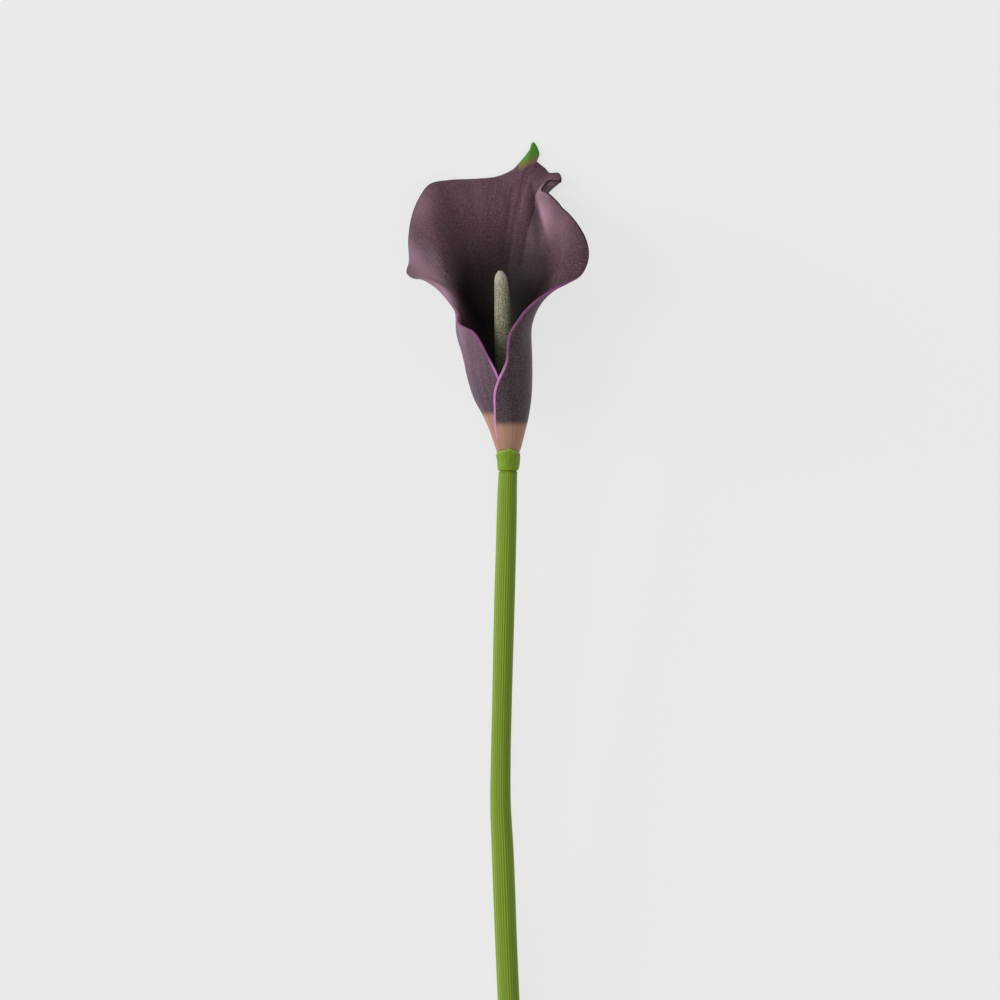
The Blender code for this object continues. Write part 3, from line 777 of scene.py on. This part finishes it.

# Spathe skin: waxy leaf tissue with a fine velvet of cells, which takes the shine off it and glows at
# glancing angles. Purple-brown inside and rosier to the rim; painted light makes it lighter toward the
# rim, and painted shade makes it almost black in the throat. Greyer outside, the left flap painted paler
# and the right one painted darker. Veins 2 to 3 mm apart run up the roll; the cells are drawn 0.5 mm
# coarse to show.
petal, tree, shader = new_material(
    "velvet_calla_skin", Roughness=0.5, Specular_IOR_Level=0.22, Sheen_Weight=0.08, Sheen_Roughness=0.4
)
shader.inputs["Sheen Tint"].default_value = colour("#e7c9dc")
CELL = 0.5
VEIN_ROLL = 6.0
VEIN_LENGTH = 80.0
place = add_node(tree, "TexCoord", {}, out="Object")
rise = add_node(tree, "Attribute", {}, out="Fac", attribute_name="rise")
roll_mark = add_node(tree, "Attribute", {}, out="Fac", attribute_name="roll")
outer_face = add_node(tree, "Attribute", {}, out="Fac", attribute_name="outer_face")
on_edge = add_node(tree, "Attribute", {}, out="Fac", attribute_name="on_edge")
before_tip = add_node(tree, "Attribute", {}, out="Fac", attribute_name="before_tip")
to_margin = add_node(tree, "Attribute", {}, out="Fac", attribute_name="to_margin")
# Inside: rosier toward the rim, which is the skin's own colour, and lighter there and darker low down,
# which is painted light and shade
rosy_lit_rim_share = add_node(tree, "MapRange", {0: rise, 1: 40.0, 2: 102.0}, **SOFT_STEP)
inner = add_node(tree, "Mix", {0: rosy_lit_rim_share, 6: colour("#2f2221"), 7: colour("#644151")}, **COLOUR_MIX)

# Painted shade: the throat is darkened a few millimetres in from the flaps and further in below the wide
# mouth
reach = add_node(tree, "MapRange", {0: rise, 1: 56.0, 2: 80.0, 3: 4.5, 4: 19.0}, **SOFT_STEP)
inward = add_node(tree, "Math", {0: to_margin, 1: reach}, operation="DIVIDE")
throat_shade = add_node(tree, "MapRange", {0: inward, 1: 0.5, 2: 1.6}, **SOFT_STEP)
depth = add_node(tree, "MapRange", {0: rise, 1: 84.0, 2: 54.0, 3: 0.2, 4: 0.85}, **SOFT_STEP)
throat_shade = add_node(tree, "Math", {0: throat_shade, 1: depth}, operation="MULTIPLY")

# Outside: painted light makes the left flap paler than the right one, which is painted in shade; the left
# flap is darker near the foot
right = add_node(tree, "MapRange", {0: roll_mark, 1: 90.0, 2: 270.0}, **SOFT_STEP)
low = add_node(tree, "MapRange", {0: rise, 1: 42.0, 2: 14.0}, **SOFT_STEP)
lit_left_flap = add_node(tree, "Mix", {0: low, 6: colour("#6c5063"), 7: colour("#584652")}, **COLOUR_MIX)
outer = add_node(tree, "Mix", {0: right, 6: lit_left_flap, 7: colour("#403236")}, **COLOUR_MIX)
skin = add_node(tree, "Mix", {0: outer_face, 6: inner, 7: outer}, **COLOUR_MIX)

# Dark veins, and the pale specks of the velvet
around = add_node(tree, "Math", {0: roll_mark, 1: 1.0 / VEIN_ROLL}, operation="MULTIPLY")
along = add_node(tree, "Math", {0: rise, 1: 1.0 / VEIN_LENGTH}, operation="MULTIPLY")
vein_place = add_node(tree, "CombineXYZ", {"X": around, "Y": along})
veins = add_node(tree, "TexNoise", {"Vector": vein_place, "Scale": 1.0, "Detail": 4.0, "Roughness": 0.65})
vein = add_node(tree, "MapRange", {0: veins, 1: 0.36, 2: 0.64, 4: 0.36}, **SOFT_STEP)
skin = add_node(tree, "Mix", {0: vein, 6: skin, 7: colour("#2b1d20")}, **COLOUR_MIX)
velvet = {"Vector": place, "Scale": 1.0 / (CELL * MM), "Detail": 2.0, "Roughness": 0.7}
cells = add_node(tree, "TexNoise", velvet)
speck = add_node(tree, "MapRange", {0: cells, 1: 0.42, 2: 0.66, 4: 0.25}, **SOFT_STEP)
skin = add_node(tree, "Mix", {0: speck, 6: skin, 7: colour("#a1858f")}, **COLOUR_MIX)

# The painted throat shade goes over both, on the inner face alone, and then the painted highlights and
# shades on the folds
inside = add_node(tree, "Math", {0: 1.0, 1: outer_face}, operation="SUBTRACT")
throat_shade = add_node(tree, "Math", {0: throat_shade, 1: inside}, operation="MULTIPLY")
skin = add_node(tree, "Mix", {0: throat_shade, 6: skin, 7: colour("#120906")}, **COLOUR_MIX)
painted_light_mark = add_node(tree, "Attribute", {}, out="Fac", attribute_name="painted_light_share")
# Painted highlight where the share is above 0
painted_highlight = add_node(tree, "Math", {0: painted_light_mark, 1: 0.0}, operation="MAXIMUM")
skin = add_node(tree, "Mix", {0: painted_highlight, 6: skin, 7: colour("#ba92a6")}, **COLOUR_MIX)
# Painted shade where the share is below 0
painted_shade = add_node(tree, "Math", {0: painted_light_mark, 1: -1.0}, operation="MULTIPLY")
painted_shade = add_node(tree, "Math", {0: painted_shade, 1: 0.0}, operation="MAXIMUM")
skin = add_node(tree, "Mix", {0: painted_shade, 6: skin, 7: colour("#241619")}, **COLOUR_MIX)

# The foot fades to tan, a little higher on the left flap than on the right
tan_top = add_node(tree, "MapRange", {0: roll_mark, 1: 60.0, 2: 260.0, 3: 13.2, 4: 9.5})
over_tan = add_node(tree, "Math", {0: rise, 1: tan_top}, operation="SUBTRACT")
tan_share = add_node(tree, "MapRange", {0: over_tan, 1: 1.5, 2: -1.5}, **SOFT_STEP)
tan = add_node(tree, "Mix", {0: vein, 6: colour("#b58b74"), 7: colour("#7c5642")}, **COLOUR_MIX)
skin = add_node(tree, "Mix", {0: tan_share, 6: skin, 7: tan}, **COLOUR_MIX)

# The tip turns olive and then green
olive = add_node(tree, "MapRange", {0: before_tip, 1: 7.7, 2: 6.4}, **SOFT_STEP)
left_of_notch = add_node(tree, "MapRange", {0: roll_mark, 1: 201.0, 2: 198.5}, **SOFT_STEP)
olive = add_node(tree, "Math", {0: olive, 1: left_of_notch}, operation="MULTIPLY")
leaf = add_node(tree, "MapRange", {0: before_tip, 1: 6.8, 2: 3.4}, **SOFT_STEP)
green = add_node(tree, "Mix", {0: leaf, 6: colour("#7a6d42"), 7: colour("#4f8a2e")}, **COLOUR_MIX)
skin = add_node(tree, "Mix", {0: olive, 6: skin, 7: green}, **COLOUR_MIX)

# The edge: mauve along both flaps, brightest low down, and painted shade makes it dark round the back rim
edge_low = add_node(tree, "MapRange", {0: rise, 1: 36.0, 2: 27.0}, **SOFT_STEP)
mauve = add_node(tree, "Mix", {0: edge_low, 6: colour("#8a507f"), 7: colour("#cf88c0")}, **COLOUR_MIX)
left_back = add_node(tree, "MapRange", {0: roll_mark, 1: 104.0, 2: 125.0}, **SOFT_STEP)
right_back = add_node(tree, "MapRange", {0: roll_mark, 1: 266.0, 2: 250.0}, **SOFT_STEP)
back_rim_shade = add_node(tree, "Math", {0: left_back, 1: right_back}, operation="MULTIPLY")
edge_colour = add_node(tree, "Mix", {0: back_rim_shade, 6: mauve, 7: colour("#382b31")}, **COLOUR_MIX)
not_leaf = add_node(tree, "Math", {0: 1.0, 1: olive}, operation="SUBTRACT")
above_foot = add_node(tree, "MapRange", {0: rise, 1: 3.0, 2: 5.5}, **SOFT_STEP)
band = add_node(tree, "MapRange", {0: to_margin, 1: 0.75, 2: 0.45}, **SOFT_STEP)
not_back = add_node(tree, "Math", {0: 1.0, 1: back_rim_shade}, operation="SUBTRACT")
band = add_node(tree, "Math", {0: band, 1: outer_face}, operation="MULTIPLY")
band = add_node(tree, "Math", {0: band, 1: not_back}, operation="MULTIPLY")
# Painted shade: a dark line along the back rim, on both faces
rim_shade_line = add_node(tree, "MapRange", {0: to_margin, 1: 0.5, 2: 0.2}, **SOFT_STEP)
rim_shade_line = add_node(tree, "Math", {0: rim_shade_line, 1: back_rim_shade}, operation="MULTIPLY")
band = add_node(tree, "Math", {0: band, 1: rim_shade_line}, operation="MAXIMUM")
edge_share = add_node(tree, "Math", {0: on_edge, 1: band}, operation="MAXIMUM")
edge_share = add_node(tree, "Math", {0: edge_share, 1: not_leaf}, operation="MULTIPLY")
edge_share = add_node(tree, "Math", {0: edge_share, 1: above_foot}, operation="MULTIPLY")
skin = add_node(tree, "Mix", {0: edge_share, 6: skin, 7: edge_colour}, **COLOUR_MIX)
tree.links.new(skin, shader.inputs["Base Color"])
relief = add_node(tree, "Math", {0: veins, 1: 1.5, 2: cells}, operation="MULTIPLY_ADD")
bumps = add_node(tree, "Bump", {"Height": relief, "Strength": 0.35, "Distance": 0.12 * MM})
tree.links.new(bumps, shader.inputs["Normal"])

spathe_piece = add_piece("rolled_spathe", points, spathe_faces, petal, spathe_marks)
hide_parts("spathe")

# ---------------------------------------------------------------------------------------------------
# The studio: a pale matt floor, a soft lamp low on the left with another high above it, weak ones off
# the tip, the foot and the right, and a camera with a long lens that looks straight down on the flower.
# ---------------------------------------------------------------------------------------------------

# Studio floor: matt painted board, lit a little from within like a light table, so shadows stay weak
studio_floor, _, shader = new_material("pale_studio_board", Roughness=0.9, Specular_IOR_Level=0.1)
shader.inputs["Base Color"].default_value = colour("#707070")
shader.inputs["Emission Color"].default_value = colour("#ffffff")
shader.inputs["Emission Strength"].default_value = 0.69
# It reaches 12 m each way and lies 0.3 mm under the flower
FLOOR_REACH = 12.0
FLOOR_GAP = 0.3
corners = [(-FLOOR_REACH, -FLOOR_REACH, 0.0), (FLOOR_REACH, -FLOOR_REACH, 0.0)]
corners += [(FLOOR_REACH, FLOOR_REACH, 0.0), (-FLOOR_REACH, FLOOR_REACH, 0.0)]
floor_mesh = bpy.data.meshes.new("studio_floor")
floor_mesh.from_pydata(corners, [], [(0, 1, 2, 3)])
floor_mesh.materials.append(studio_floor)
floor = bpy.data.objects.new("studio_floor", floor_mesh)
floor.location.z = -FLOOR_GAP * MM
bpy.context.scene.collection.objects.link(floor)

world = bpy.data.worlds.new("studio_air")
world.use_nodes = True
world.node_tree.nodes["Background"].inputs["Color"].default_value = colour("#e6e6e6")
world.node_tree.nodes["Background"].inputs["Strength"].default_value = 0.2
bpy.context.scene.world = world

# Square soft lamps, all turned to the head of the flower: place from it and size in metres, and watts
LAMPS = (
    ("key_lamp", (-2.86, 0.30, 0.84), 1.0, 42.0),
    ("high_lamp", (-2.1, 0.4, 2.1), 1.2, 26.0),
    ("tip_lamp", (-0.3, 2.3, 1.9), 1.5, 14.0),
    ("foot_lamp", (-0.3, -2.2, 2.0), 1.5, 22.0),
    ("right_lamp", (2.6, 0.2, 1.4), 1.2, 10.0),
)
HEAD = (0.0, 60.0, -10.0)
head = foot + np.array(HEAD) * MM
for name, offset, size, power in LAMPS:
    lamp = bpy.data.lights.new(name, "AREA")
    lamp.size = size
    lamp.energy = power
    holder = bpy.data.objects.new(name, lamp)
    holder.location = head + np.array(offset)
    way = head - (head + np.array(offset))
    tilt = math.atan2(math.hypot(way[0], way[1]), -way[2])
    holder.rotation_euler = (tilt, 0.0, math.atan2(way[1], way[0]) - 0.5 * math.pi)
    bpy.context.scene.collection.objects.link(holder)

# The camera sees 370 mm across at 15 mm behind the flower's axis, round a point below and left of the foot
VIEW_WIDTH = 370.0
VIEW_DEPTH = -15.0
VIEW_CENTRE = (-2.96, -18.5)
LENS = 500.0
SENSOR = 36.0
camera_data = bpy.data.cameras.new("main_camera")
camera_data.lens = LENS
camera_data.sensor_width = SENSOR
camera_data.clip_end = 50.0
camera = bpy.data.objects.new("main_camera", camera_data)
camera.location = foot + np.array([*VIEW_CENTRE, VIEW_DEPTH + VIEW_WIDTH * LENS / SENSOR]) * MM
bpy.context.scene.collection.objects.link(camera)
bpy.context.scene.camera = camera
bpy.context.scene.view_settings.view_transform = "Standard"
